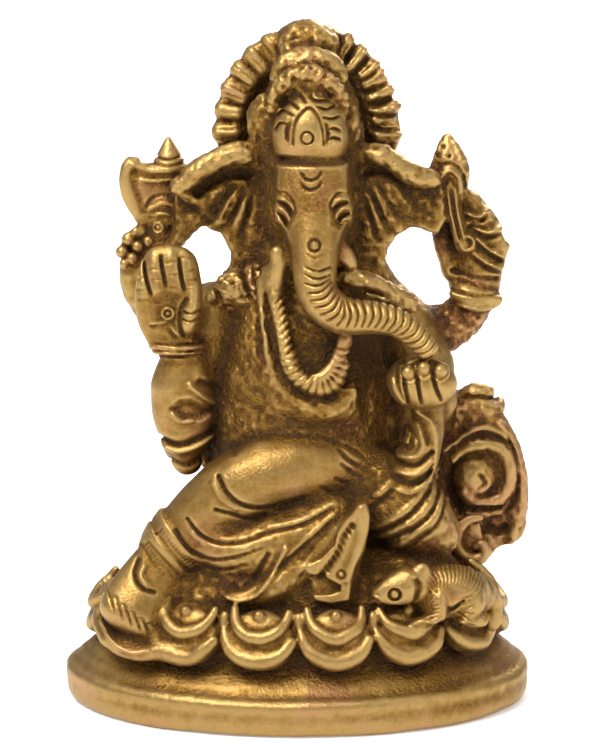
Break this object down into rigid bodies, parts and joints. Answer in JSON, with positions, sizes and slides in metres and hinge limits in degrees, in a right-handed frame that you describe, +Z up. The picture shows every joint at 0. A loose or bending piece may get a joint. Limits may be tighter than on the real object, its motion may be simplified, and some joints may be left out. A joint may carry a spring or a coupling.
{
  "type": "seated elephant-headed deity statuette",
  "caption": "Small antique-brass statuette of a seated elephant-headed Hindu deity with four arms, a rayed halo and a mouse at its feet, on an oval plinth with a lotus seat.",
  "frame": {"origin": "centre of the oval plinth's underside", "axes": "+Z up, -Y the way the deity faces, +X the deity's left, which is the viewer's right"},
  "size_m": [0.0532, 0.036, 0.077],
  "materials": {
    "aged_brass": "sand-cast brass with a dark brown patina in its recesses and rubbed yellow high points",
    "coppery_brass": "the same casting where the patina has a reddish copper tint"
  },
  "bodies": {
    "root": {"plinth": "aged_brass", "lotus_seat": "aged_brass", "lotus_petals": "aged_brass", "torso": "aged_brass", "shoulder_ornament": "aged_brass", "shoulder_roll": "coppery_brass", "garland": "aged_brass", "sash": "aged_brass", "head": "aged_brass", "trunk": "aged_brass", "ear_right": "aged_brass", "ear_left": "aged_brass", "eye_right": "aged_brass", "eye_left": "aged_brass", "tusk_right": "aged_brass", "tusk_left": "coppery_brass", "crown_core": "aged_brass", "crown_plaque": "aged_brass", "crown_band_lower": "aged_brass", "crown_band_upper": "aged_brass", "crown_finial": "coppery_brass", "halo_plate": "aged_brass", "halo_rays": "aged_brass", "arm_rear_right": "aged_brass", "hand_rear_right": "aged_brass", "axe_handle": "aged_brass", "axe_blade": "aged_brass", "axe_spike": "aged_brass", "arm_front_right": "aged_brass", "wristband_right": "coppery_brass", "hand_front_right": "aged_brass", "arm_rear_left": "aged_brass", "bangle_rear_left": "aged_brass", "hand_rear_left": "aged_brass", "lotus_stem": "aged_brass", "lotus_bud": "coppery_brass", "arm_front_left": "aged_brass", "hand_front_left": "aged_brass", "sweets": "aged_brass", "leg_right": "aged_brass", "anklet_upper": "aged_brass", "anklet_lower": "aged_brass", "foot_right": "aged_brass", "foot_rest": "aged_brass", "leg_left": "aged_brass", "dhoti_folds": "aged_brass", "dhoti_pleat": "aged_brass", "mouse_head": "aged_brass", "mouse_body": "aged_brass", "mouse_legs": "aged_brass", "mouse_tail": "aged_brass", "bolster_body": "coppery_brass", "bolster_scroll": "coppery_brass", "bolster_scroll_small": "coppery_brass", "bolster_finial": "coppery_brass"}
  },
  "joints": []
}
